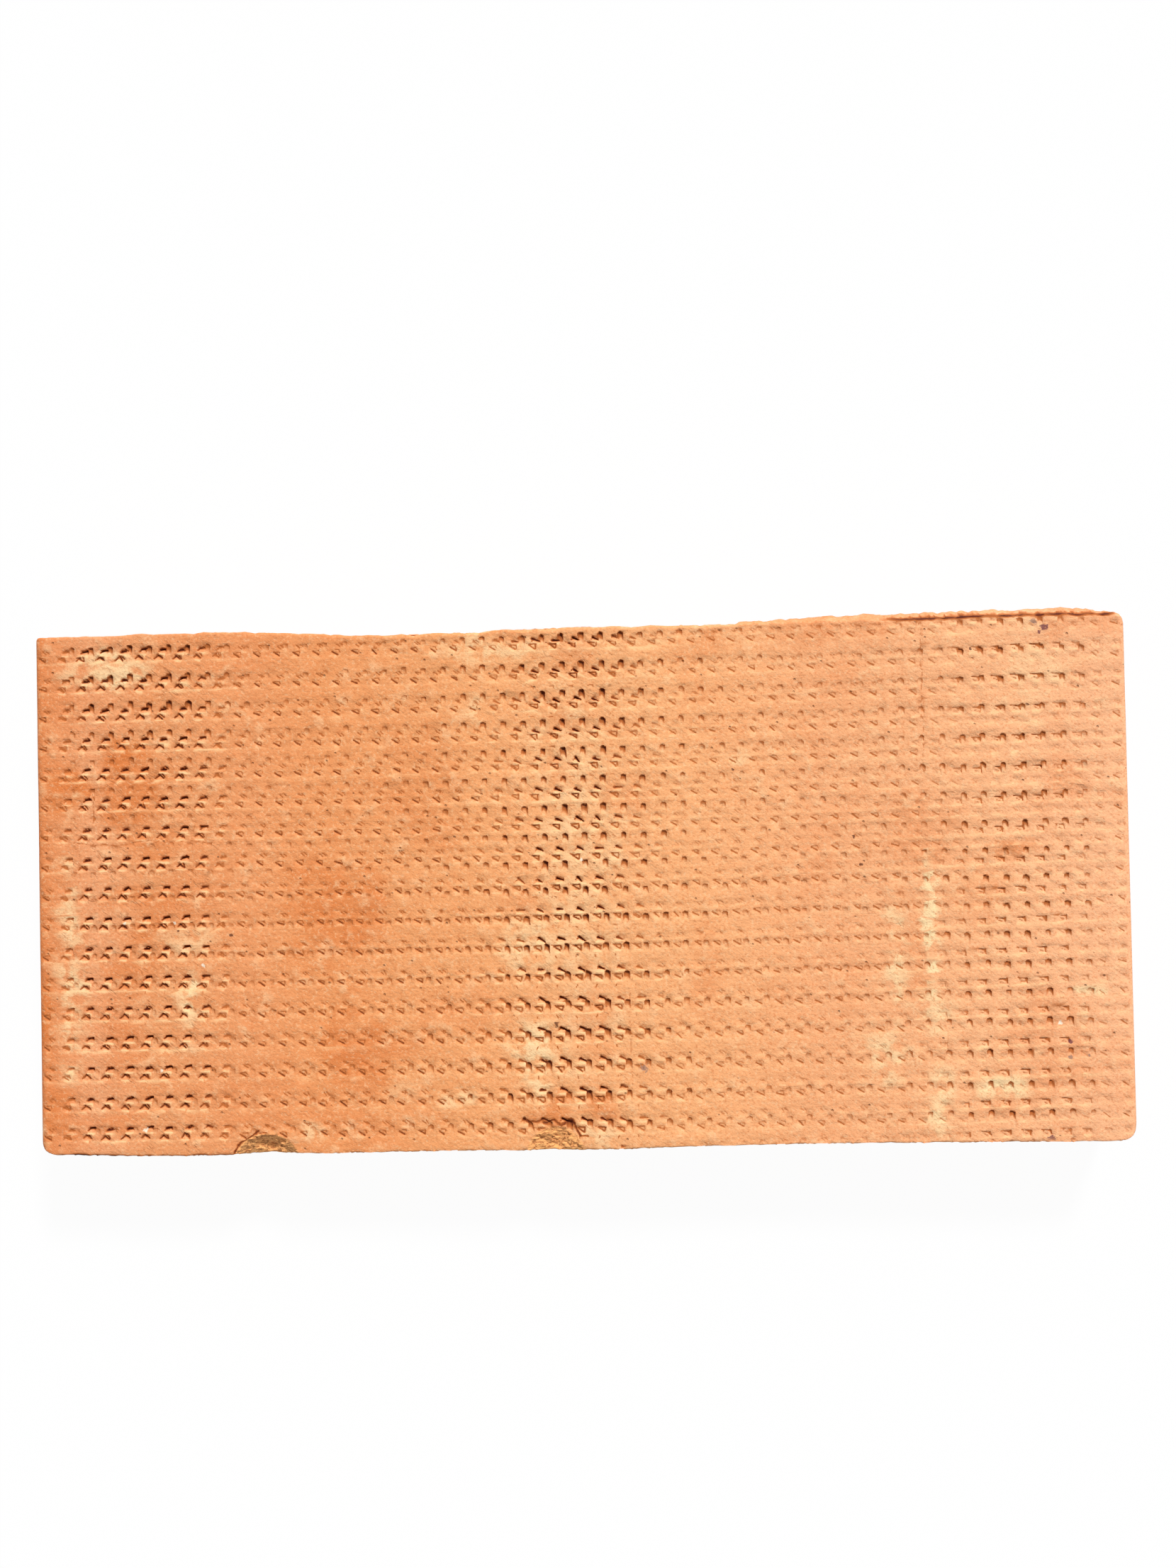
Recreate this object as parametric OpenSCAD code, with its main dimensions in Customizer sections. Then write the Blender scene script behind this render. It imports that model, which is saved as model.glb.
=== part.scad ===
// Brick slip of fired clay, lying on its back with the textured face up.
// A clay column is pushed through a die along Y, so its section in X and Z is the same all the
// way: a face with two shallow dips and eased sides. Two wires then cut it off, near and far,
// and leave edges that wander, a lean and a torn lip. The back is sawn flat.

/* [Slip] */
// Length of the face, between the two sides that the die shaped
slip_length = 215; // [180:1:300]
// Width of the face, between the two wire cuts
slip_width = 102.5; // [65:0.5:150]
// Thickness, from the sawn back to the highest part of the face
slip_thickness = 22; // [15:0.5:40]

/* [Face] */
// How far the face sinks at the middle of each dip
dip_depth = 0.8; // [0.2:0.1:1.5]
// Width of each dip along the face
dip_width = 62; // [40:1:70]
// From the middle of the face to the middle of the left dip
left_dip_at = 45; // [36:1:50]
// From the middle of the face to the middle of the right dip
right_dip_at = 43; // [36:1:50]
// Rounding along the two sides that the die shaped
side_round = 1.6; // [0.6:0.1:4]

/* [Wire cuts] */
// How much further out the far cut is at the back than at the face, at its right end
far_lean = 1.5; // [0:0.1:3]
// How much further out the near cut is at the back than at the face
near_lean = 0.6; // [0:0.1:2]
// How far the torn lip stands out below the far edge
lip_reach = 1.3; // [0.3:0.1:2.5]
// Depth of the lip's tip below the face
lip_depth = 3; // [1.5:0.1:5]
// From the middle of the slip to where the lip starts
lip_start = 20; // [0:1:60]
// Length over which the lip grows to its full reach, and then fades out
lip_fade = 24; // [10:1:35]
// Rounding of the far left corner, seen on the face
far_left_round = 0.8; // [0.4:0.1:5]
// Rounding of the far right corner
far_right_round = 2.2; // [0.4:0.1:5]
// Rounding of the near left corner
near_left_round = 3; // [0.4:0.1:5]
// Rounding of the near right corner
near_right_round = 3.4; // [0.4:0.1:5]

/* [Chipped edge] */
// Place of the deep chip along the near edge, from the middle of the slip
chip_at = -62; // [-80:0.5:80]
// Width of the chip along the edge
chip_width = 13; // [6:0.5:20]
// How far the chip reaches into the face
chip_reach = 4.2; // [2:0.1:8]
// How far the chip runs down the cut
chip_drop = 3; // [2:0.1:8]
// Place of the crumbled spot along the near edge, from the middle of the slip
crumble_at = -5; // [-80:0.5:80]
// Width of the crumbled spot along the edge
crumble_width = 12; // [6:0.5:20]
// How far the crumbled spot reaches into the face
crumble_reach = 5; // [2:0.1:8]
// How far the crumbled spot runs down the cut
crumble_drop = 1.4; // [0.6:0.1:4]

/* [Hidden] */

// What each wire strayed outwards from its straight line, at even stations from left to right
far_stray = [0.0, 0.15, 0.15, -0.95, -1.0, -0.5, -0.8, -0.85, -0.5, -0.3, -0.3];
near_stray = [0.4, 0.9, 0.75, 0.75, 0.45, 0.65, 0.2, 0.0, -0.1, -0.05, 0.0];

past = 1; // how far a cutting shape runs past what it cuts
face_steps = 54; // flat strips that the dipped face is drawn with
cut_steps = 44; // stations along each wire cut, between its corners
corner_angles = [0:15:75];
round_angles = [0:15:90];
half_length = slip_length / 2;
half_width = slip_width / 2;
corner_span = max(far_left_round, far_right_round, near_left_round, near_right_round);

// A smooth curve through even stations, where t is 0 at the first value and 1 at the last
function through(values, t) =
    let (spans = len(values) - 1,
         k = max(0, min(spans - 1, floor(t * spans))),
         u = t * spans - k,
         a = values[max(0, k - 1)],
         b = values[k],
         c = values[k + 1],
         d = values[min(spans, k + 2)])
    b + u * (c - a + u * (2 * a - 5 * b + 4 * c - d + u * (3 * (b - c) + d - a))) / 2;

// 0 before from, 1 after to, and a smooth rise between them
function rise(x, from, to) =
    let (t = max(0, min(1, (x - from) / (to - from)))) t * t * (3 - 2 * t);

// A bell of height 1 at distance 0, which is flat and 0 from half its width outwards
function bell(distance, width) =
    abs(distance) < width / 2 ? (1 + cos(360 * distance / width)) / 2 : 0;

function face_height(x) =
    slip_thickness - dip_depth * (bell(x + left_dip_at, dip_width) + bell(x - right_dip_at, dip_width));

// What a rounded corner takes off an edge, at a distance from the slip's end
function corner_loss(distance, radius) =
    distance < radius ? radius - sqrt(max(0, radius * radius - pow(radius - distance, 2))) : 0;

function lip_share(x) =
    rise(x, lip_start, lip_start + lip_fade) * (1 - rise(x, half_length - lip_fade / 3, half_length));

// Both cuts lean evenly from the face down to the back, and the far one more and more towards the right
function depth_share(z) = (slip_thickness - z) / slip_thickness;
function far_edge(x, z, lip) =
    half_width + through(far_stray, x / slip_length + 0.5)
    + far_lean * rise(x, -half_length, half_length) * depth_share(z)
    + lip * lip_reach * lip_share(x)
    - corner_loss(half_length + x, far_left_round) - corner_loss(half_length - x, far_right_round);
function near_edge(x, z) =
    half_width + through(near_stray, x / slip_length + 0.5) + near_lean * depth_share(z)
    - corner_loss(half_length + x, near_left_round) - corner_loss(half_length - x, near_right_round);

// The clay column as the die leaves it, long enough for both wires to cut
module column() {
    reach = half_width + lip_reach + far_lean + 4 * past;
    inner = half_length - side_round;
    section = concat(
        [[-half_length, 0], [half_length, 0]],
        [for (a = round_angles)
            [inner + side_round * cos(a), face_height(inner) - side_round * (1 - sin(a))]],
        [for (i = [1 : face_steps - 1])
            let (x = inner * (1 - 2 * i / face_steps)) [x, face_height(x)]],
        [for (a = round_angles)
            [-inner - side_round * sin(a), face_height(inner) - side_round * (1 - cos(a))]]
    );
    translate([0, reach, 0])
        rotate([90, 0, 0])
            linear_extrude(2 * reach)
                polygon(section);
}

// The clay between the two wires: one ring of points for each level, joined by triangles.
// Its levels are below the back, above, at and below the lip's tip, and above the face.
module between_wires() {
    levels = [
        [-past, 0],
        [slip_thickness - 2 * lip_depth, 0],
        [slip_thickness - lip_depth, 1],
        [slip_thickness - lip_depth / 3, 0],
        [slip_thickness + past, 0]
    ];
    left = [for (a = corner_angles) -half_length + corner_span * (1 - cos(a))];
    middle = [for (i = [0 : cut_steps])
        (half_length - corner_span) * (2 * i / cut_steps - 1)];
    stations = concat(left, middle, [for (i = [len(left) - 1 : -1 : 0]) -left[i]]);
    last = len(stations) - 1;
    ring = 2 * len(stations);
    points = [for (level = levels) each concat(
        [for (x = stations) [x, -near_edge(x, level[0]), level[0]]],
        [for (i = [last : -1 : 0]) [stations[i], far_edge(stations[i], level[0], level[1]), level[0]]]
    )];
    sides = [for (j = [0 : len(levels) - 2], i = [0 : ring - 1])
        let (k = (i + 1) % ring, low = j * ring, high = low + ring)
        each [[low + i, high + i, high + k], [low + i, high + k, low + k]]];
    bottom = [for (i = [0 : ring - 1]) i];
    top = [for (i = [ring - 1 : -1 : 0]) (len(levels) - 1) * ring + i];
    polyhedron(points, concat([bottom, top], sides));
}

// A ball that takes a chip of this width, reach and drop out of the near edge of the face
module edge_chip(at, width, reach, drop) {
    half = width / 2;
    outside = (half * half + reach * reach) / (2 * reach) - reach;
    above = (half * half + drop * drop) / (2 * drop) - drop;
    translate([at, -near_edge(at, slip_thickness) - outside, face_height(at) + above])
        sphere(r = norm([half, outside, above]), $fn = 96);
}

module slip() {
    color("sandybrown")
        difference() {
            intersection() {
                column();
                between_wires();
            }
            edge_chip(chip_at, chip_width, chip_reach, chip_drop);
            edge_chip(crumble_at, crumble_width, crumble_reach, crumble_drop);
        }
}

slip();
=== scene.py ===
"""A fired clay brick slip, seen from above on a white floor. Lengths are in millimetres until they reach Blender."""

import math

import bpy
import numpy as np
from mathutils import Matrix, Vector
from mathutils.bvhtree import BVHTree


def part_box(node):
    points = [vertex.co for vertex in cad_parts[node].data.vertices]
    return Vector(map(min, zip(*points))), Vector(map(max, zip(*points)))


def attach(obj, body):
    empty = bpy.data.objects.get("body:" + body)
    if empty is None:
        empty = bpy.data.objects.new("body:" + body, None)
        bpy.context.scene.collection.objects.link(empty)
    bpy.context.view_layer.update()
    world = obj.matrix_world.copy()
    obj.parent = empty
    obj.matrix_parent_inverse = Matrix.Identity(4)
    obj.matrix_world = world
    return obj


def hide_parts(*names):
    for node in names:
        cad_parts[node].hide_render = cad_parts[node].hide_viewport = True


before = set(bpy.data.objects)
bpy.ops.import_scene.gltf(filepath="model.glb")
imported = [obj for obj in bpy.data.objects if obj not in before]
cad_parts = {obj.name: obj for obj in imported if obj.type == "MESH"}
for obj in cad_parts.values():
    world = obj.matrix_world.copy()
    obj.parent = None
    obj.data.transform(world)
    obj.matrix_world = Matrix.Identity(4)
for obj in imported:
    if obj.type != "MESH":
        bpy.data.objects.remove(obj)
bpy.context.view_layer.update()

# The blank. A column of soft clay comes out of a die, two wires cut it to the slip's width, and
# after firing a saw takes the slip off the brick. A block cut into fine squares on its face is
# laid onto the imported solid, point by point, because the solid has the real outline.
MM = 0.001
SQUARE = 0.2
LEVEL = 0.5
low, high = (Vector(corner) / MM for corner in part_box("slip"))
length, thickness = high.x - low.x, high.z - low.z
half_length = length / 2
half_width = 51.25
solid = BVHTree.FromObject(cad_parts["slip"], bpy.context.evaluated_depsgraph_get())

bpy.ops.object.select_all(action="DESELECT")
bpy.ops.mesh.primitive_grid_add(
    x_subdivisions=round(length / SQUARE),
    y_subdivisions=round(2 * half_width / SQUARE),
    size=1,
    location=(0, 0, thickness * MM),
)
slip = bpy.context.object
slip.name = "slip_clay"
slip.scale = (length * MM, 2 * half_width * MM, 1)
bpy.ops.object.transform_apply(location=True, rotation=True, scale=True)


def points(mesh):
    """The places of a mesh's vertices in millimetres."""
    flat = np.empty(len(mesh.vertices) * 3)
    mesh.vertices.foreach_get("co", flat)
    return flat.reshape(-1, 3) / MM


def select_edges(mesh, chosen):
    """Selects only the edges that are true in chosen."""
    mesh.vertices.foreach_set("select", np.zeros(len(mesh.vertices), bool))
    mesh.polygons.foreach_set("select", np.zeros(len(mesh.polygons), bool))
    mesh.edges.foreach_set("select", chosen)


# the rim is pulled down to the back in one step, closed there, and then cut into levels
bpy.ops.object.mode_set(mode="EDIT")
bpy.ops.mesh.select_mode(type="EDGE")
bpy.ops.mesh.select_all(action="DESELECT")
bpy.ops.mesh.select_non_manifold()
bpy.ops.mesh.extrude_edges_move(TRANSFORM_OT_translate={"value": (0, 0, -thickness * MM)})
bpy.ops.mesh.edge_face_add()
bpy.ops.object.mode_set(mode="OBJECT")
ends = np.empty(len(slip.data.edges) * 2, int)
slip.data.edges.foreach_get("vertices", ends)
edge_heights = points(slip.data)[ends.reshape(-1, 2), 2]
select_edges(slip.data, np.abs(edge_heights[:, 0] - edge_heights[:, 1]) > thickness / 2)
bpy.ops.object.mode_set(mode="EDIT")
bpy.ops.mesh.select_mode(type="EDGE")
bpy.ops.mesh.subdivide_edgering(number_cuts=round(thickness / LEVEL) - 1, interpolation="LINEAR")
bpy.ops.object.mode_set(mode="OBJECT")

OUTSIDE = 200.0
INSET = 0.04


def cast(x, y, z, direction):
    """How far a ray runs from each place until it meets the solid, in millimetres."""
    ray = Vector(direction)
    runs = []
    for start in zip(x, y, z):
        # a ray that slips between two triangles is sent again from a hair to the side
        for aside in (0, 0.013, -0.017, 0.029):
            run = solid.ray_cast([(value + aside) * MM for value in start], ray)[3]
            if run is not None:
                break
        runs.append(run / MM)
    return np.array(runs)


def cut_edges(x, z):
    """Where the near and the far wire cut lie, at these places along the slip and heights."""
    inside = np.clip(x, -half_length + INSET, half_length - INSET)
    start = np.full(len(x), OUTSIDE)
    near = -OUTSIDE + cast(inside, -start, z, (0, 1, 0))
    far = OUTSIDE - cast(inside, start, z, (0, -1, 0))
    return near, far


def whole_face(x):
    """The height of the face where nothing is chipped off."""
    inside = np.clip(x, -half_length + INSET, half_length - INSET)
    return OUTSIDE - cast(inside, 0 * x, 0 * x + OUTSIDE, (0, 0, -1))


def rough(a, b, size, seed, layers=3):
    """Soft random hills about as wide as size, with ever smaller and lower ones on them."""
    total = 0
    for k in range(layers):
        table = np.random.default_rng(seed + k).uniform(-1, 1, (256, 256))
        i, j = a * 2**k / size, b * 2**k / size
        left, below = np.floor(i).astype(int), np.floor(j).astype(int)
        u, v = i - left, j - below
        u, v = u * u * (3 - 2 * u), v * v * (3 - 2 * v)
        rows = [
            table[left % 256, n % 256] * (1 - u) + table[(left + 1) % 256, n % 256] * u
            for n in (below, below + 1)
        ]
        total = total + (rows[0] * (1 - v) + rows[1] * v) / 2**k
    return total


# The roller marks. While the clay is soft, rollers with rows of teeth run along it. Two of them
# leave cuts with torn sides, and a third one prints a blunt thumb between them, and slips a
# little. The clay bulges in three bands, and there the teeth went deep.
def rise(value, start, end):
    """0 before start, 1 after end, and a smooth rise between them."""
    t = np.clip((value - start) / (end - start), 0, 1)
    return t * t * (3 - 2 * t)


def bell(value, width):
    return np.exp(-((value / width) ** 2))


def least(*values):
    return np.minimum.reduce(np.broadcast_arrays(*values))


def chance(column, row, seed):
    """A number from -1 to 1 that stays the same for one mark."""
    mixed = np.sin(column * 12.99 + row * 78.23 + seed * 37.7) * 97.3
    return (mixed - np.floor(mixed)) * 2 - 1


def cell(x, y, first_column, column_pitch, first_row, row_pitch, above):
    """Which mark of a roller is nearest, and the place relative to it. Each mark has its own
    small error in x and y. A part of the row pitch, above, lies over the mark's middle."""
    column = np.floor((x - first_column) / column_pitch + 0.5)
    row = np.floor((y - first_row) / row_pitch + 1 - above)
    across = x - first_column - column * column_pitch - 0.08 * chance(column, row, 1)
    up = y - first_row - row * row_pitch - 0.08 * chance(column, row, 2)
    return column, row, across, up


# the strokes of a cut: its band, both ends, half the width at each end, and how deep it is and how dark its painted
# shade
CUTS = {
    "upper": [
        ("left", -0.5, 0.05, 0.4, 0.15, 0.32, 0.26, 1.0),
        ("left", -0.85, -0.25, -0.3, 0.2, 0.14, 0.2, 0.85),
        ("left", 0.1, 0.35, 0.65, -0.05, 0.18, 0.14, 0.8),
        ("centre", -0.6, 0.1, 0.6, -0.42, 0.32, 0.15, 1.1),
        ("centre", -0.9, -0.2, -0.45, 0.1, 0.1, 0.18, 0.7),
        ("right", -1.2, 0.5, 0.6, 0.32, 0.07, 0.18, 0.55),
        ("right", 0.1, 0.25, 0.62, 0.15, 0.12, 0.28, 0.46),
        ("right", 0.6, 0.35, 0.7, -0.5, 0.22, 0.13, 0.62),
        ("right", -0.5, -0.1, 0.2, -0.4, 0.12, 0.1, 0.45),
        ("calm", -0.6, 0.3, 0.1, -0.25, 0.17, 0.14, 0.46),
        ("calm", -0.05, 0.4, 0.6, -0.1, 0.16, 0.14, 0.44),
    ],
    "lower": [
        ("left", -1.0, -0.3, -0.25, 0.3, 0.18, 0.22, 0.8),
        ("left", -0.35, 0.35, 0.55, -0.35, 0.24, 0.2, 0.9),
        ("left", 0.2, 0.35, 0.75, -0.3, 0.18, 0.15, 0.75),
        ("centre", -1.5, 0.65, -0.6, 0.3, 0.07, 0.14, 0.5),
        ("centre", -0.75, 0.4, 0.5, 0.4, 0.16, 0.2, 0.7),
        ("centre", 0.55, 0.35, 0.6, -0.35, 0.2, 0.15, 0.66),
        ("centre", -0.75, 0.3, 0.4, -0.5, 0.16, 0.2, 0.74),
        ("right", -0.6, 0.2, 0.1, -0.2, 0.1, 0.1, 0.3),
        ("calm", -0.75, 0.25, 0.4, -0.45, 0.18, 0.22, 0.8),
        ("calm", -0.3, 0.48, 0.4, 0.46, 0.12, 0.15, 0.5),
        ("calm", 0.45, 0.45, 0.66, 0, 0.15, 0.13, 0.5),
    ],
}


def stroke(across, up, start, end, start_width, end_width):
    """1 on the line from start to end, and falling to 0 at half its width."""
    run_x, run_y = end[0] - start[0], end[1] - start[1]
    share = ((across - start[0]) * run_x + (up - start[1]) * run_y) / (run_x**2 + run_y**2)
    share = np.clip(share, 0, 1)
    gap = np.hypot(across - start[0] - share * run_x, up - start[1] - share * run_y)
    width = start_width + (end_width - start_width) * share
    return np.maximum(1 - (gap / width) ** 2, 0)


def cut_print(name, cell_of, bands, firm):
    """Depth, painted shade and painted highlight of a cut: strokes in a shallow hollow that is steep above and at
    the right. The strokes are darkened with painted shade, and a pale strip below the hollow is a painted highlight.
    """
    column, row, across, up = cell_of
    drawn = 0
    for number, (band, x0, y0, x1, y1, start_width, end_width, tone) in enumerate(CUTS[name]):
        stray = [0.8 * start_width * chance(column, row, 10 * number + k) for k in (3, 4, 5, 6)]
        start, end = (x0 + stray[0], y0 + stray[1]), (x1 + stray[2], y1 + stray[3])
        line = stroke(across, up, start, end, start_width, end_width)
        drawn = np.maximum(drawn, bands[band] * tone * line)
    floor = 0.03 + 0.26 * firm
    upper_wall = (0.5 - 0.1 * chance(column, row, 7) - up - 0.25 * bands["centre"] * across) * 2
    hollow = least(floor, upper_wall, (0.8 - across) * 2, (up + 0.8) * 0.8, (across + 1.05) * 0.5)
    # painted highlight: the strip below the hollow, where its floor rises towards the lamp, is painted pale
    painted_highlight = bell(up + 0.82, 0.22) * (1 - rise(np.abs(across + 0.15), 0.6, 1.2))
    return np.maximum(hollow, 0) + (0.2 + 0.4 * firm) * drawn, drawn, painted_highlight * (0.3 + 0.8 * firm)


def thumb_print(cell_of, press):
    """Depth, painted shade and painted highlight of a thumb print: an arch above, steep there and to the right,
    and a floor that rises to the surface below it and to the left. The arch and the right wall get painted shade,
    and the end of the floor a painted highlight."""
    column, row, across, up = cell_of
    half = 0.63 + 0.05 * chance(column, row, 3)
    inside = np.minimum(np.abs(across) / half, 1)
    below = 0.8 * half * (np.sqrt(1 - inside**2) - 1) - up
    reach = 1.1 + (1.2 + 0.3 * chance(column, row, 4)) * press
    fading = 1 - below / reach
    depth = least(0.9 * press * fading, below * 2.4, (half - across) * 2, (half + across) * 1.2)
    # painted shade below the arch and along the right wall, the sides turned away from the lamp
    painted_shade = 0.9 * np.exp(-np.maximum(below, 0) / 1.4) + 0.8 * np.exp(-np.maximum(half - across, 0) / 0.25)
    tone = (0.1 + 0.9 * press) * painted_shade * rise(depth, 0, 0.1) * rise(fading, 0, 0.7)
    # painted highlight where the floor rises back to the surface, facing the lamp
    painted_highlight = rise(press, 0, 0.2) * bell(below - 0.8 * reach, 0.5) * (1 - rise(np.abs(across), 0.35, 0.7))
    return np.maximum(depth, 0), tone, (0.3 + 0.3 * press) * painted_highlight


def trace_print(cell_of, y, press):
    """Depth and painted shade of the faint trace of a tooth's back: an arch far up, a dash near the edge."""
    column, row, across, up = cell_of
    arch = stroke(across, up + 0.5 * across**2, (-0.5, 0.1), (0.4, 0.1), 0.1, 0.13)
    leg = stroke(across, up, (0.42, 0.0), (0.45, -0.35), 0.1, 0.08)
    lean = 0.15 * chance(column, row, 3)
    dash = stroke(across, up, (lean, 0.35), (-lean, -0.2), 0.14, 0.12)
    dashed = rise(-y, 8, 16)
    drawn = press * (np.maximum(arch, leg) * (1 - dashed) + 1.5 * dash * dashed)
    return 0.2 * drawn, drawn, 0 * drawn


def carved(x, y):
    """How deep the teeth went, and the painted shade in their marks or, below 0, the painted highlight beside them.
    """
    to_right, to_left = np.maximum(x, 0), np.minimum(x, 0)
    bands = {
        "left": rise(x, -107, -96) * (1 - rise(x, -78, -63)),
        "centre": bell(x + 1, 15),
        "right": bell(x - 86, 16),
    }
    bands["calm"] = (1 - 0.9 * np.minimum(sum(bands.values()), 1)) * (1 - 0.35 * rise(x, 5, 20))
    sunk = (0.5 - 0.008 * y) / 85
    ends = 1 - rise(np.abs(x), 97, 104)
    x = x - 0.007 * to_left
    pressed = {
        "upper": 0.1 + 0.7 * bands["left"] + 0.65 * bands["centre"] + 0.4 * bands["right"],
        "lower": 0.12 + 0.4 * bands["left"] + 0.4 * bands["centre"] + 0.2 * bands["right"],
        "thumb": 0.2 + bands["left"] * (0.2 * rise(y, 15, 24) + 0.4 * rise(y, 26, 36))
        + 0.45 * bands["centre"] + 0.22 * bell(x, 30) + 0.36 * bands["right"],
        "trace": 0.4 * bands["centre"] + 0.15 * bands["left"],
    }
    slipped = 0.9 * rise(-y, -12, 6) * (1 - rise(-y, 28, 42)) + 0.011 * x + 0.7 * rise(-x, 60, 80)
    rollers = [
        ("upper", y - 0.026 * to_right - sunk * to_left, 0.8, 3.89, 1.3, 5.88, 0.5),
        ("lower", y - 0.018 * to_right - 0.004 * to_left, 0.2, 3.9, -0.35, 5.94, 0.5),
        ("trace", y - 0.018 * to_right, -0.3, 3.87, -2.2, 5.9, 0.5),
        ("thumb", y - slipped, 1.8, 3.89, -0.98, 5.62, 0.25),
    ]
    deepest, strongest_painted_shade, strongest_painted_highlight = 0, 0, 0
    for name, level_y, *lattice in rollers:
        column, row, across, up = cell(x, level_y, *lattice)
        press = pressed[name] * (1 + 0.25 * chance(column, row, 8))
        if name == "thumb":
            up = up - 0.22 * chance(column, 0, 9)
            depth, painted_shade, painted_highlight = thumb_print((column, row, across, up), press * ends)
        elif name == "trace":
            depth, painted_shade, painted_highlight = trace_print((column, row, across, up), y, press)
        else:
            depth, painted_shade, painted_highlight = cut_print(name, (column, row, across, up), bands, press)
        deepest = np.maximum(deepest, depth)
        # the strongest painted shade and painted highlight of all the rollers
        strongest_painted_shade = np.maximum(strongest_painted_shade, painted_shade)
        strongest_painted_highlight = np.maximum(strongest_painted_highlight, painted_highlight)
    return deepest, strongest_painted_shade - strongest_painted_highlight * (1 - rise(strongest_painted_shade, 0, 0.2))


# laying the block onto the solid, with its marks, ragged edges and worn arrises
block = points(slip.data)
columns, column_of = np.unique(block[:, 0].round(4), return_inverse=True)
across_share = block[:, 1] / (2 * half_width) + 0.5
down_share = 1 - block[:, 2] / thickness
on_face = down_share < 1e-4
on_end = np.abs(block[:, 0]) > half_length - 1e-4
BELOW_CHIPS, BELOW_ARRIS = 5.0, 0.8
uncut_face = whole_face(columns)
near = cut_edges(columns, uncut_face - BELOW_CHIPS)[0]
far = cut_edges(columns, uncut_face - BELOW_ARRIS)[1]
RAGGED = 0.16
near_ragged = near - RAGGED * rough(columns, 0 * columns, 2.6, 11)
far_ragged = far + RAGGED * rough(columns, 0 * columns, 2.6, 21)

x = block[:, 0].copy()
y = near_ragged[column_of] + (far_ragged - near_ragged)[column_of] * across_share
face_z = uncut_face[column_of]
CHIP_ZONE = 8.0
may_chip = np.flatnonzero(y < near[column_of] + CHIP_ZONE)
chip_x = np.clip(x[may_chip], -half_length + INSET, half_length - INSET)
chip_y = np.maximum(y[may_chip], near[column_of[may_chip]] + 2 * INSET)
chipped_z = OUTSIDE - cast(chip_x, chip_y, np.full(len(chip_x), OUTSIDE), (0, 0, -1))
chipped = np.zeros(len(x))
chipped[may_chip] = rise(face_z[may_chip] - chipped_z, 0.02, 0.3)
face_z[may_chip] = np.minimum(face_z[may_chip], chipped_z)


def edge_distance(x, y):
    """How far inside the nearer wire cut a place on the face is."""
    return np.minimum(y - np.interp(x, columns, near_ragged), np.interp(x, columns, far_ragged) - y)


# tears in the face: both ends, half the width, and how deep the tear is and how dark its painted shade
TEARS = [
    (-11.2, -45.8, -9.8, -46.3, 0.4, 0.8), (-9.8, -46.2, -7.6, -46, 0.3, 0.7),
    (-7.4, -46.4, -5.2, -45.9, 0.4, 0.8), (-5.2, -46, -3.8, -46.7, 0.35, 0.7),
    (-3.6, -46.5, -1.7, -45.8, 0.4, 0.8), (-1.7, -45.9, -1.2, -47.4, 0.35, 0.8),
    (-1.2, -47.4, 0, -48.9, 0.3, 0.8), (0, -48.9, 1.3, -49, 0.25, 0.6),
    (-7.6, -51.2, -5.8, -50.6, 0.3, 0.7), (-5.8, -50.6, -3.6, -51.3, 0.3, 0.7),
    (-68.7, -51.6, -67.2, -49.6, 0.25, 0.8), (-67.2, -49.6, -64, -47.7, 0.25, 0.8),
    (-100, 10, -92, 9.6, 0.14, 0.4), (-92, 9.6, -84, 10.3, 0.12, 0.35), (-84, 10.3, -72, 9.8, 0.1, 0.3),
    (-96, 20, -95.8, 14, 0.12, 0.4), (-75.5, 19, -75.6, 12, 0.1, 0.3), (10, -20, 10.2, -41, 0.08, 0.3),
    (68, 51, 68.2, 20, 0.08, 0.35), (-3, -25.4, -2.2, -26.2, 0.1, 0.3),
]


def torn_lines(x, y):
    """How dark the painted shade in the tears and along the torn edges is at places on the face, from 0 to 1."""
    aside_x, aside_y = 0.25 * rough(x, y, 1.1, 111), 0.25 * rough(x, y, 1.1, 121)
    strongest_painted_shade = 0
    for x0, y0, x1, y1, width, tone in TEARS:
        line = stroke(x + aside_x, y + aside_y, (x0, y0), (x1, y1), width, width)
        strongest_painted_shade = np.maximum(strongest_painted_shade, tone * line)
    uneven = 0.8 + 0.4 * rough(x, 0 * x, 1.5, 131)
    from_far = np.interp(x, columns, far_ragged) - y
    from_near = y - np.interp(x, columns, near_ragged)
    # painted shadow: a dark line just inside the far edge at the right end and the near edge at the left end, where
    # those edges lie in shade
    far_line = bell(from_far - 0.1 - 0.2 * aside_x, 0.4) * rise(x, 58, 66) * (1 - rise(x, 104, 107))
    near_line = 1.2 * bell(from_near - 0.1, 0.42) * rise(x, -105, -101) * (1 - 0.5 * rise(x, -90, -84))
    near_line = near_line * (1 - rise(x, -70, -66))
    return np.maximum(strongest_painted_shade, np.maximum(far_line, near_line) * np.clip(uneven, 0.3, 1))


face = np.flatnonzero(on_face)
fx, fy = x[face], y[face]
inside = edge_distance(fx, fy)
fracture = chipped[face]
relief = -carved(fx, fy)[0] * rise(inside, 0.1, 1.2) * (1 - fracture)
relief -= 0.25 * torn_lines(fx, fy)
relief += 0.05 * rough(fx, fy, 14, 31) + 0.03 * rough(fx / 6, fy, 1.3, 41, 2)
relief += fracture * (0.5 * rough(fx, fy, 2.2, 61, 4) + 0.4 * np.abs(rough(fx, fy * 2, 1.1, 71)))
ARRIS = 0.55
arris = ARRIS * (1 + 0.5 * rough(fx, 0 * fx, 3.5, 51))
over = np.clip(arris - inside, 0, arris)
relief -= arris - np.sqrt(arris**2 - over**2)
z = face_z.copy()
z[face] += relief

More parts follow.
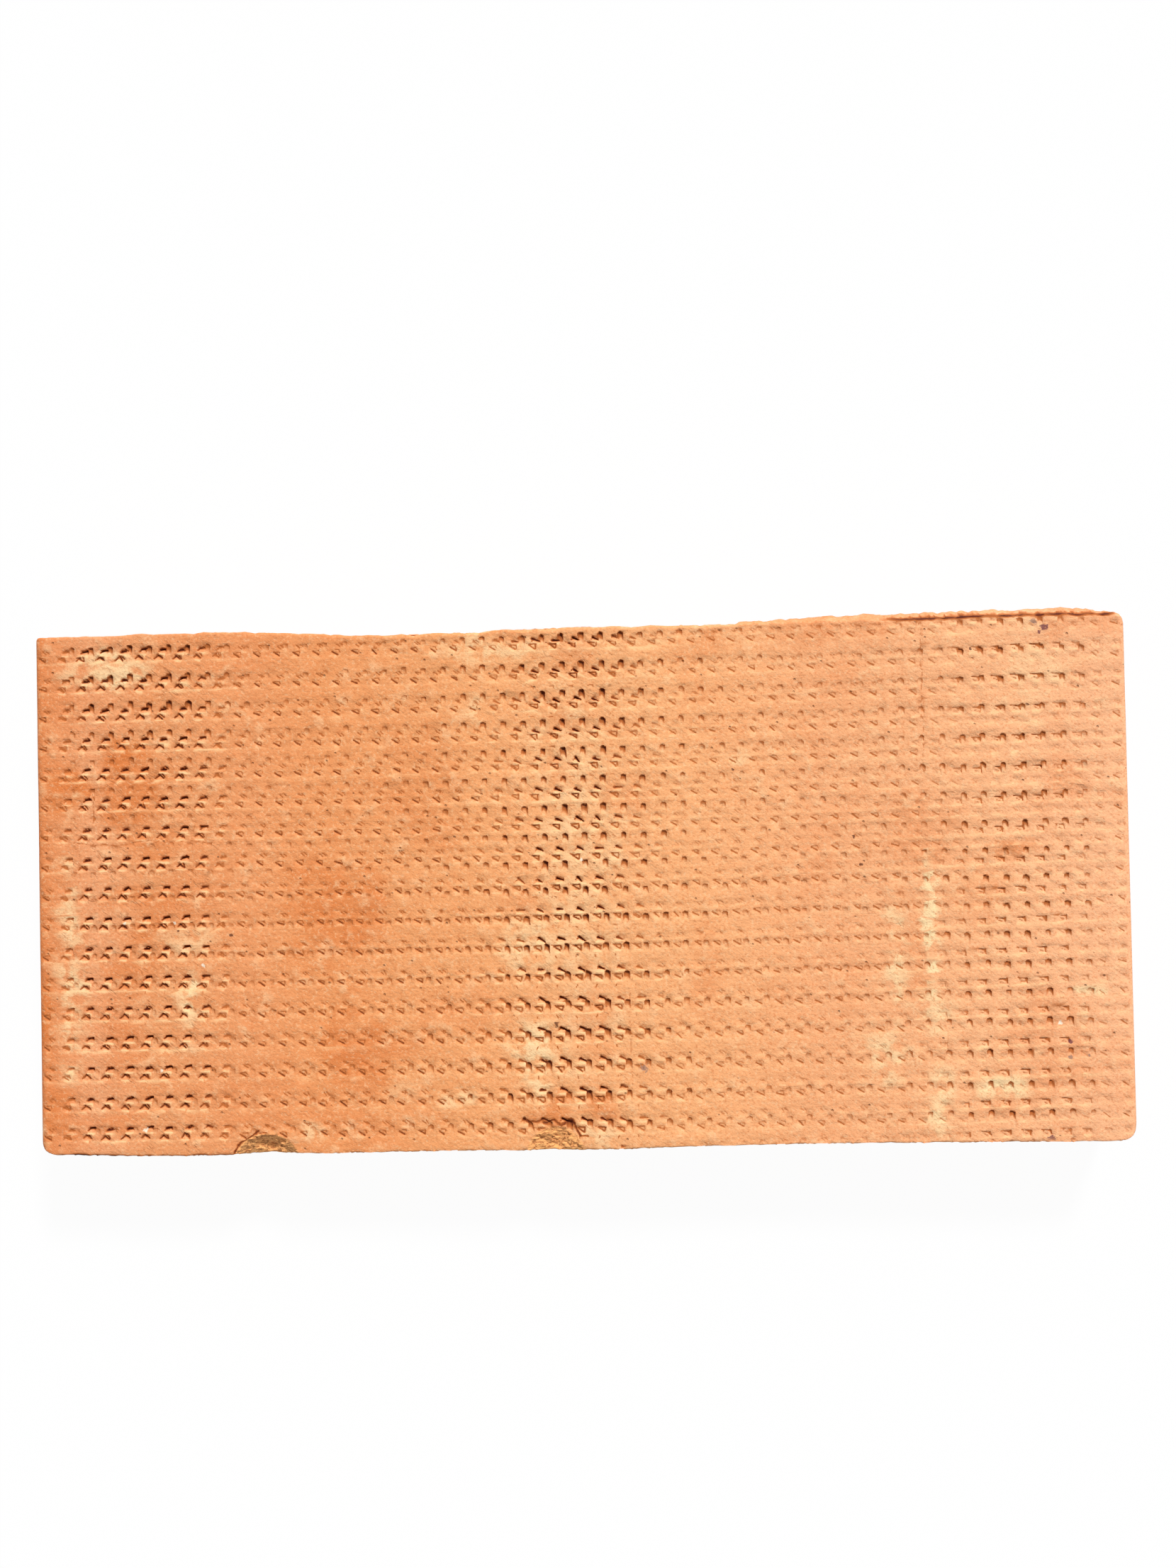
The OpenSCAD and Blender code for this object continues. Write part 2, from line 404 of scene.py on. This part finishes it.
# the wires dragged grains through the soft clay and left torn cuts, and the die smooth ends
rim = np.flatnonzero(~on_face)
top = face_z[rim]
z[rim] = top * (1 - down_share[rim])
JUST_INSIDE = 1e-3
rim_near, rim_far = cut_edges(x[rim], np.clip(z[rim], JUST_INSIDE, top - JUST_INSIDE))
share = across_share[rim]
y[rim] = rim_near + (rim_far - rim_near) * share
down = top - z[rim]
torn = 0.3 * rough(x[rim], z[rim] / 1.8, 2.4, 81, 3) + 0.12 * rough(x[rim], z[rim] / 8, 0.9, 91, 2)
torn = torn * (0.35 + 0.65 * rise(down, 0.3, 2.5)) * (0.3 + 0.7 * rise(z[rim], 0, 1.5)) - 0.08
is_far = share > 0.5
ragged = np.where(is_far, (far_ragged - far)[column_of[rim]], (near_ragged - near)[column_of[rim]])
shift = np.where(is_far, torn, -torn) + ragged * (1 - rise(down, 0, 2))
y[rim] += np.where(on_end[rim], 0, shift)
die_drag = 0.08 * rough(y[rim] / 6, z[rim], 1.6, 101, 2) * rise(down, 0, 1) - 0.08
x[rim] += np.where(on_end[rim] & (share > 0.001) & (share < 0.999), np.sign(x[rim]) * die_drag, 0)

slip.data.vertices.foreach_set("co", (np.stack([x, y, z], 1) * MM).ravel())
slip.data.update()

# squares that hold no shape are joined, so that the marks keep the fine ones
TRIANGLES = 196000
thin = slip.modifiers.new("thin", "DECIMATE")
thin.ratio = TRIANGLES / sum(face.loop_total - 2 for face in slip.data.polygons)
bpy.ops.object.modifier_apply(modifier="thin")
bpy.ops.object.shade_smooth_by_angle(angle=math.radians(62))

# what the material has to know at each point: how much of the marks is left there
kept_x, kept_y, kept_z = points(slip.data).T
row_of = np.round(across_share[face] * 2 * half_width / SQUARE).astype(int)
broken_map = np.zeros((len(columns), row_of.max() + 1))
broken_map[column_of[face], row_of] = fracture
inside = edge_distance(kept_x, kept_y)
near_here = np.interp(kept_x, columns, near_ragged)
width_here = np.interp(kept_x, columns, far_ragged - near_ragged)
i = np.clip(np.round((kept_x + half_length) / length * (len(columns) - 1)), 0, len(columns) - 1)
j = np.clip(np.round((kept_y - near_here) / width_here * row_of.max()), 0, row_of.max())
broken = broken_map[i.astype(int), j.astype(int)]
on_top = rise(kept_z, thickness - 4.5, thickness - 3.5)
kept = rise(inside, 0.1, 1.2) * (1 - broken) * on_top
# stains and blooms: where on the face, half the width, half the height, strength
STAINS = [
    (-90, 27, 6, 5, 1.0), (-88, 19, 8, 7, 0.8), (-101, 21, 4, 5, 1.0), (-84, 9, 8, 5, 0.6),
    (-85, -1, 9, 3, 0.6), (-86, -8, 6, 3, 0.7), (-89, -15, 6, 6, 0.6), (-90, -30, 6, 7, 0.4),
    (-107, -24, 2, 12, 1.0), (-104, -43, 4, 7, 0.7), (-92, -45, 4, 3, 0.5), (-48, -4, 9, 14, 0.75),
    (-45, -33, 8, 8, 0.75), (-37, -31, 6, 4, 0.5), (-30, 20, 9, 14, 0.35), (-6, -45, 6, 4, 0.7),
    (5, -44, 4, 4, 0.7), (85, 5.5, 5, 3, 0.6), (28, 47, 3, 3, 0.4), (78, -4, 6, 8, 0.25),
]
BLOOMS = [
    (-93, 44, 7, 4, 0.9), (-101, -14, 2.5, 24, 0.8), (-77, -21, 2, 8, 0.9), (-78, -10, 6, 3, 0.5),
    (-9, -12, 6, 5, 0.5), (-9, -31, 5, 8, 0.8), (-17, 47, 8, 4, 0.5), (-19, 36, 2, 4, 0.5),
    (33, 25, 3, 2, 0.4), (62, -15, 2, 13, 0.8), (68.6, -11, 1.1, 15, 1.9), (69, -25, 3, 6, 0.6),
    (59, -35, 4, 6, 0.7), (70, -43, 3, 7, 0.8), (82, -41, 7, 2.5, 1.1), (90, 40, 6, 11, 0.3),
    (-25, -42, 4, 2, 0.5), (-34, -40, 3, 2, 0.4), (-53, -47, 3, 2.5, 0.6), (99, -22, 4, 0.8, 0.8),
    (4, -49, 4, 2, 0.7), (0, 2, 9, 40, 0.3),
]
ripple_x = 0.45 * rough(kept_x, kept_y, 4, 31, 4)
ripple_y = 0.45 * rough(kept_x, kept_y, 4, 41, 4)


def patches(spots):
    """Ragged soft patches on the face, from 0 to their strength."""
    total = 0
    for at_x, at_y, half_wide, half_high, strength in spots:
        across = (kept_x - at_x) / half_wide + ripple_x
        up = (kept_y - at_y) / half_high + ripple_y
        total = np.maximum(total, strength * rise(1.35 - across * across - up * up, 0, 1.2))
    return total


# painted shade and painted highlight of the marks, and painted shade of the tears and torn edges, handed to the
# material as tone
mark_painted_shade_and_highlight = carved(kept_x, kept_y)[1] * kept
torn_painted_shade = torn_lines(kept_x, kept_y)
facts = {
    "kept": kept,
    "tone": np.where(torn_painted_shade > 0.15, np.maximum(torn_painted_shade, mark_painted_shade_and_highlight), mark_painted_shade_and_highlight) * on_top,
    "deep": (bell(kept_x + 85, 20) + 0.8 * bell(kept_x, 17) + 0.3 * bell(kept_x - 86, 20)) * kept,
    "broken": broken * on_top,
    "cut": 1 - rise(kept_z, thickness - 7, thickness - 1.5),
    "stain": patches(STAINS),
    "bloom": patches(BLOOMS),
}
for name, values in facts.items():
    slip.data.attributes.new(name, "FLOAT", "POINT").data.foreach_set("value", values)


# The clay's colour. It is orange, browner at its left end and paler at its right one. Iron
# has stained it in places, lime has bloomed pale in others, and its surface is matt and sandy.
def srgb(red, green, blue):
    """A colour as Blender wants it, from its usual 0 to 255 values."""
    def linear(value):
        value = value / 255
        return value / 12.92 if value < 0.04045 else ((value + 0.055) / 1.055) ** 2.4
    return (linear(red), linear(green), linear(blue), 1.0)


class Wire:
    """A socket in a material's node tree. A sum or product of wires adds its Math node."""

    def __init__(self, tree, socket):
        self.tree = tree
        self.socket = socket

    def node(self, kind, inputs=None, out=0, **settings):
        """Adds a node of this kind, sets it up, then fills or links its sockets."""
        made = self.tree.nodes.new(kind)
        for key, value in settings.items():
            setattr(made, key, value)
        for key, value in (inputs or {}).items():
            if isinstance(value, Wire):
                self.tree.links.new(value.socket, made.inputs[key])
            else:
                made.inputs[key].default_value = value
        return Wire(self.tree, made.outputs[out])

    def math(self, operation, *values):
        return self.node("ShaderNodeMath", dict(enumerate(values)), operation=operation)

    def __add__(self, other):
        return self.math("ADD", self, other)

    def __radd__(self, other):
        return self.math("ADD", other, self)

    def __sub__(self, other):
        return self.math("SUBTRACT", self, other)

    def __rsub__(self, other):
        return self.math("SUBTRACT", other, self)

    def __mul__(self, other):
        return self.math("MULTIPLY", self, other)

    def __rmul__(self, other):
        return self.math("MULTIPLY", other, self)

    def __truediv__(self, other):
        return self.math("DIVIDE", self, other)


clay = bpy.data.materials.new("fired_clay")
clay.use_nodes = True
tree = clay.node_tree
shader = tree.nodes["Principled BSDF"]
wire = Wire(tree, shader.outputs[0])
place = wire.node("ShaderNodeTexCoord", out="Object")
place = wire.node("ShaderNodeVectorMath", {0: place, "Scale": 1 / MM}, operation="SCALE")
px, py, pz = (wire.node("ShaderNodeSeparateXYZ", {0: place}, out=k) for k in range(3))


def fact(name):
    """What the mesh says about a point."""
    return wire.node("ShaderNodeAttribute", out="Fac", attribute_name=name)


def ramp(value, start, end):
    """0 before start, 1 after end, and a smooth rise between them."""
    inputs = {0: value, 1: start, 2: end}
    return wire.node("ShaderNodeMapRange", inputs, interpolation_type="SMOOTHSTEP")


def grain(size, detail=3.0, stretch=(1, 1, 1), shift=0.0, where=place):
    """Noise of that size in millimetres, mostly from 0.3 to 0.7."""
    spread = tuple(1 / (size * s) for s in stretch)
    where = wire.node("ShaderNodeMapping", {0: where, "Scale": spread, "Location": (shift,) * 3})
    return wire.node("ShaderNodeTexNoise", {"Vector": where, "Scale": 1.0, "Detail": detail})


def over(base, colour, mask):
    """This colour laid over a base colour where the mask is 1."""
    inputs = {0: mask, 6: base, 7: colour}
    return wire.node("ShaderNodeMix", inputs, out=2, data_type="RGBA", clamp_factor=True)


CLAY_ACROSS = [
    (-107.5, (226, 134, 76)), (-104, (232, 148, 94)), (-96, (238, 162, 112)), (-84, (234, 156, 102)),
    (-66, (236, 155, 100)), (-50, (236, 154, 96)), (-20, (242, 166, 108)), (0, (244, 174, 118)),
    (24, (246, 174, 118)), (48, (245, 172, 120)), (80, (248, 180, 130)), (107.5, (251, 184, 137)),
]
base = wire.node("ShaderNodeValToRGB", {0: px / length + 0.5})
stops = base.socket.node.color_ramp.elements
while len(stops) < len(CLAY_ACROSS):
    stops.new(1.0)
for stop, (at, tone) in zip(stops, CLAY_ACROSS):
    stop.position = at / length + 0.5
    stop.color = srgb(*tone)

broad = grain(14, 4)
blotch = grain(3.2, 4, shift=7)
speck = grain(0.55, 3, shift=19)
colour = over(base, srgb(224, 128, 66), fact("stain") * ramp(blotch, 0.2, 0.5))
colour = over(colour, srgb(255, 220, 168), fact("bloom") * ramp(blotch, 0.38, 0.54))
colour = over(colour, srgb(228, 134, 76), 0.35 * ramp(broad, 0.5, 0.7))
colour = over(colour, srgb(255, 206, 156), 0.4 * ramp(blotch, 0.54, 0.74))
colour = over(colour, srgb(214, 122, 66), 0.5 * ramp(speck, 0.53, 0.72))
colour = over(colour, srgb(255, 214, 168), 0.34 * ramp(0 - speck, -0.46, -0.3))

# torn lines beside the deep marks, and pits that dropped grains left
SLANT = math.radians(36)
along = px * math.cos(SLANT) - py * math.sin(SLANT)
aside = px * math.sin(SLANT) + py * math.cos(SLANT)
slanting = wire.node("ShaderNodeCombineXYZ", {0: along / 6, 1: aside, 2: pz})
ridge = wire.math("ABSOLUTE", grain(1.3, 2, shift=71, where=slanting) - 0.5)
crack = (1 - ramp(ridge, 0.003, 0.022)) * ramp(grain(2.4, 2, shift=83), 0.53, 0.6) * fact("deep")
cells = wire.node("ShaderNodeVectorMath", {0: place, "Scale": 0.55}, operation="SCALE")
pit_gap = wire.node("ShaderNodeTexVoronoi", {"Vector": cells, "Scale": 1.0}, out="Distance")
pick = wire.node("ShaderNodeTexVoronoi", {"Vector": cells, "Scale": 1.0}, out="Color")
pick = wire.node("ShaderNodeSeparateColor", {0: pick})
on_face = fact("kept")
pit = (1 - ramp(pit_gap, 0.05, 0.17)) * ramp(pick, 0.82, 0.86) * on_face
tone = fact("tone")
# painted shade: the cracks and pits are darkened
colour = over(colour, srgb(160, 80, 32), 0.4 * crack + 0.5 * pit)
# painted highlight: the pale strips beside the marks
colour = over(colour, srgb(255, 210, 154), 0.8 * ramp(0 - tone, 0, 0.8))
# painted shade: the marks, tears and torn edges darkened, brown first and dark brown where the shade is deepest
colour = over(colour, srgb(186, 102, 46), 0.95 * ramp(tone, 0, 0.4))
colour = over(colour, srgb(96, 34, 12), ramp(tone, 0.38, 0.88))

# single marks: white grains, dark spots that stand for small holes, painted as their shade, and the purple specks of
# a burnt mineral
SPOTS = {
    (250, 232, 208): [(-86.3, -46.9, 0.4), (-82.9, -35.3, 0.3), (-90, -6, 0.3), (-79.8, -6, 0.3),
                      (-74.3, -14.5, 0.4), (93.2, -28.3, 0.4), (1.2, 4.9, 0.3)],
    (96, 44, 24): [(-4.4, -27.2, 0.5), (77.7, 44.6, 0.3), (88.4, 33.5, 0.3), (31.2, 22, 0.3),
                   (-68.6, -8.7, 0.3), (-79.2, -7.7, 0.3), (54.5, 8.5, 0.4), (55.7, 3, 0.3)],
    (112, 52, 66): [(95.1, -31.9, 0.4), (91, -50.6, 0.7), (92, 48.4, 0.7), (91, 47.5, 0.35)],
    (164, 124, 106): [(95, -34.9, 0.45), (98.5, -34.6, 0.3), (12.5, -36, 0.8), (90, 49.6, 0.7)],
}
crumbs = 3 * (speck - 0.5)
flat = wire.node("ShaderNodeCombineXYZ", {0: px, 1: py})
for dot_colour, dots in SPOTS.items():
    gap = 9
    for at_x, at_y, radius in dots:
        ends = {0: flat, 1: (at_x, at_y, 0)}
        distance = wire.node("ShaderNodeVectorMath", ends, out="Value", operation="DISTANCE")
        gap = wire.math("MINIMUM", gap, distance / radius)
    near_dot = 1 - ramp(gap + crumbs, 0.6, 1.2)
    colour = over(colour, srgb(*dot_colour), 0.85 * near_dot * on_face)
broken = fact("broken")
cut = fact("cut")
colour = over(colour, srgb(230, 146, 92), 0.75 * cut)
colour = over(colour, srgb(206, 122, 72), 0.55 * cut * ramp(blotch, 0.36, 0.74))
colour = over(colour, srgb(188, 106, 60), 0.35 * cut * ramp(speck, 0.46, 0.78))
# painted light: the broken face is painted lighter to make up for the shade it lies in, and the lines between its
# layers are painted shade
layers = wire.math("ABSOLUTE", grain(0.9, 3, stretch=(2.2, 0.8, 1), shift=23) - 0.5)
colour = over(colour, srgb(255, 184, 116), broken)
colour = over(colour, srgb(140, 66, 28), 0.7 * broken * (1 - ramp(layers, 0.01, 0.06)))

streaks = grain(0.5, 2, shift=5, where=slanting)
drag = grain(0.5, 2, stretch=(9, 1, 1), shift=11)
sand = grain(0.3, 3, shift=3)
height = 0.09 * sand + 0.06 * streaks + 0.05 * drag + 0.1 * speck + 0.5 * blotch
height = height - 0.05 * crack - 0.2 * pit
bump = wire.node("ShaderNodeBump", {"Height": height, "Distance": MM})
tree.links.new(colour.socket, shader.inputs["Base Color"])
tree.links.new(bump.socket, shader.inputs["Normal"])
shader.inputs["Roughness"].default_value = 0.88
shader.inputs["Specular IOR Level"].default_value = 0.25

slip.data.materials.clear()
slip.data.materials.append(clay)
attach(slip, "root")
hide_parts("slip")

# The floor is a white sheet. Seen by the camera it is lifted towards pure white, as a product
# photo's background is, and it still keeps some of the slip's shadow.
bpy.ops.mesh.primitive_plane_add(size=4, location=(0, 0, 0))
floor = bpy.context.object
floor.name = "floor"
paper = bpy.data.materials.new("white_sheet")
paper.use_nodes = True
sheet = Wire(paper.node_tree, paper.node_tree.nodes["Principled BSDF"].outputs[0])
paper.node_tree.nodes["Principled BSDF"].inputs["Base Color"].default_value = (0.9, 0.9, 0.9, 1)
paper.node_tree.nodes["Principled BSDF"].inputs["Roughness"].default_value = 1.0
paper.node_tree.nodes["Principled BSDF"].inputs["Specular IOR Level"].default_value = 0.0
rays = [sheet.node("ShaderNodeLightPath", out=name) for name in ("Is Camera Ray", "Is Glossy Ray", "Is Transmission Ray")]
seen = (rays[0] + rays[1] + rays[2]) * 0.96
glow = sheet.node("ShaderNodeEmission", {"Color": (1, 1, 1, 1), "Strength": 1.0})
mixed = sheet.node("ShaderNodeMixShader", {0: seen, 1: sheet, 2: glow})
paper.node_tree.links.new(mixed.socket, paper.node_tree.nodes["Material Output"].inputs["Surface"])
floor.data.materials.append(paper)

# The light. One soft lamp stands beyond the far edge, a little to the right, and a pale sky
# fills the shadows. The camera sees that sky as white.
world = bpy.data.worlds.new("studio")
bpy.context.scene.world = world
world.use_nodes = True
background = world.node_tree.nodes["Background"]
background.inputs["Color"].default_value = (1, 1, 1, 1)
sky = Wire(world.node_tree, background.outputs[0])
strength = 0.36 + 0.7 * sky.node("ShaderNodeLightPath", out="Is Camera Ray")
world.node_tree.links.new(strength.socket, background.inputs["Strength"])
bpy.ops.object.light_add(type="SUN", rotation=(math.radians(-42), math.radians(20), 0))
lamp = bpy.context.object
lamp.data.energy = 3.1
lamp.data.angle = math.radians(9)

# The camera stands where the photo was taken: almost straight above, 350 mm from the face.
camera_data = bpy.data.cameras.new("camera")
camera = bpy.data.objects.new("camera", camera_data)
bpy.context.scene.collection.objects.link(camera)
camera_data.sensor_fit = "VERTICAL"
camera_data.sensor_height = 36
camera_data.lens = 40.69
camera_data.clip_start = 0.01
camera.location = Vector((19.7, 12.0, thickness + 347.5)) * MM
camera.rotation_euler = [math.radians(angle) for angle in (1.225, 2.822, -1.145)]
bpy.context.scene.camera = camera
bpy.context.scene.view_settings.view_transform = "Standard"
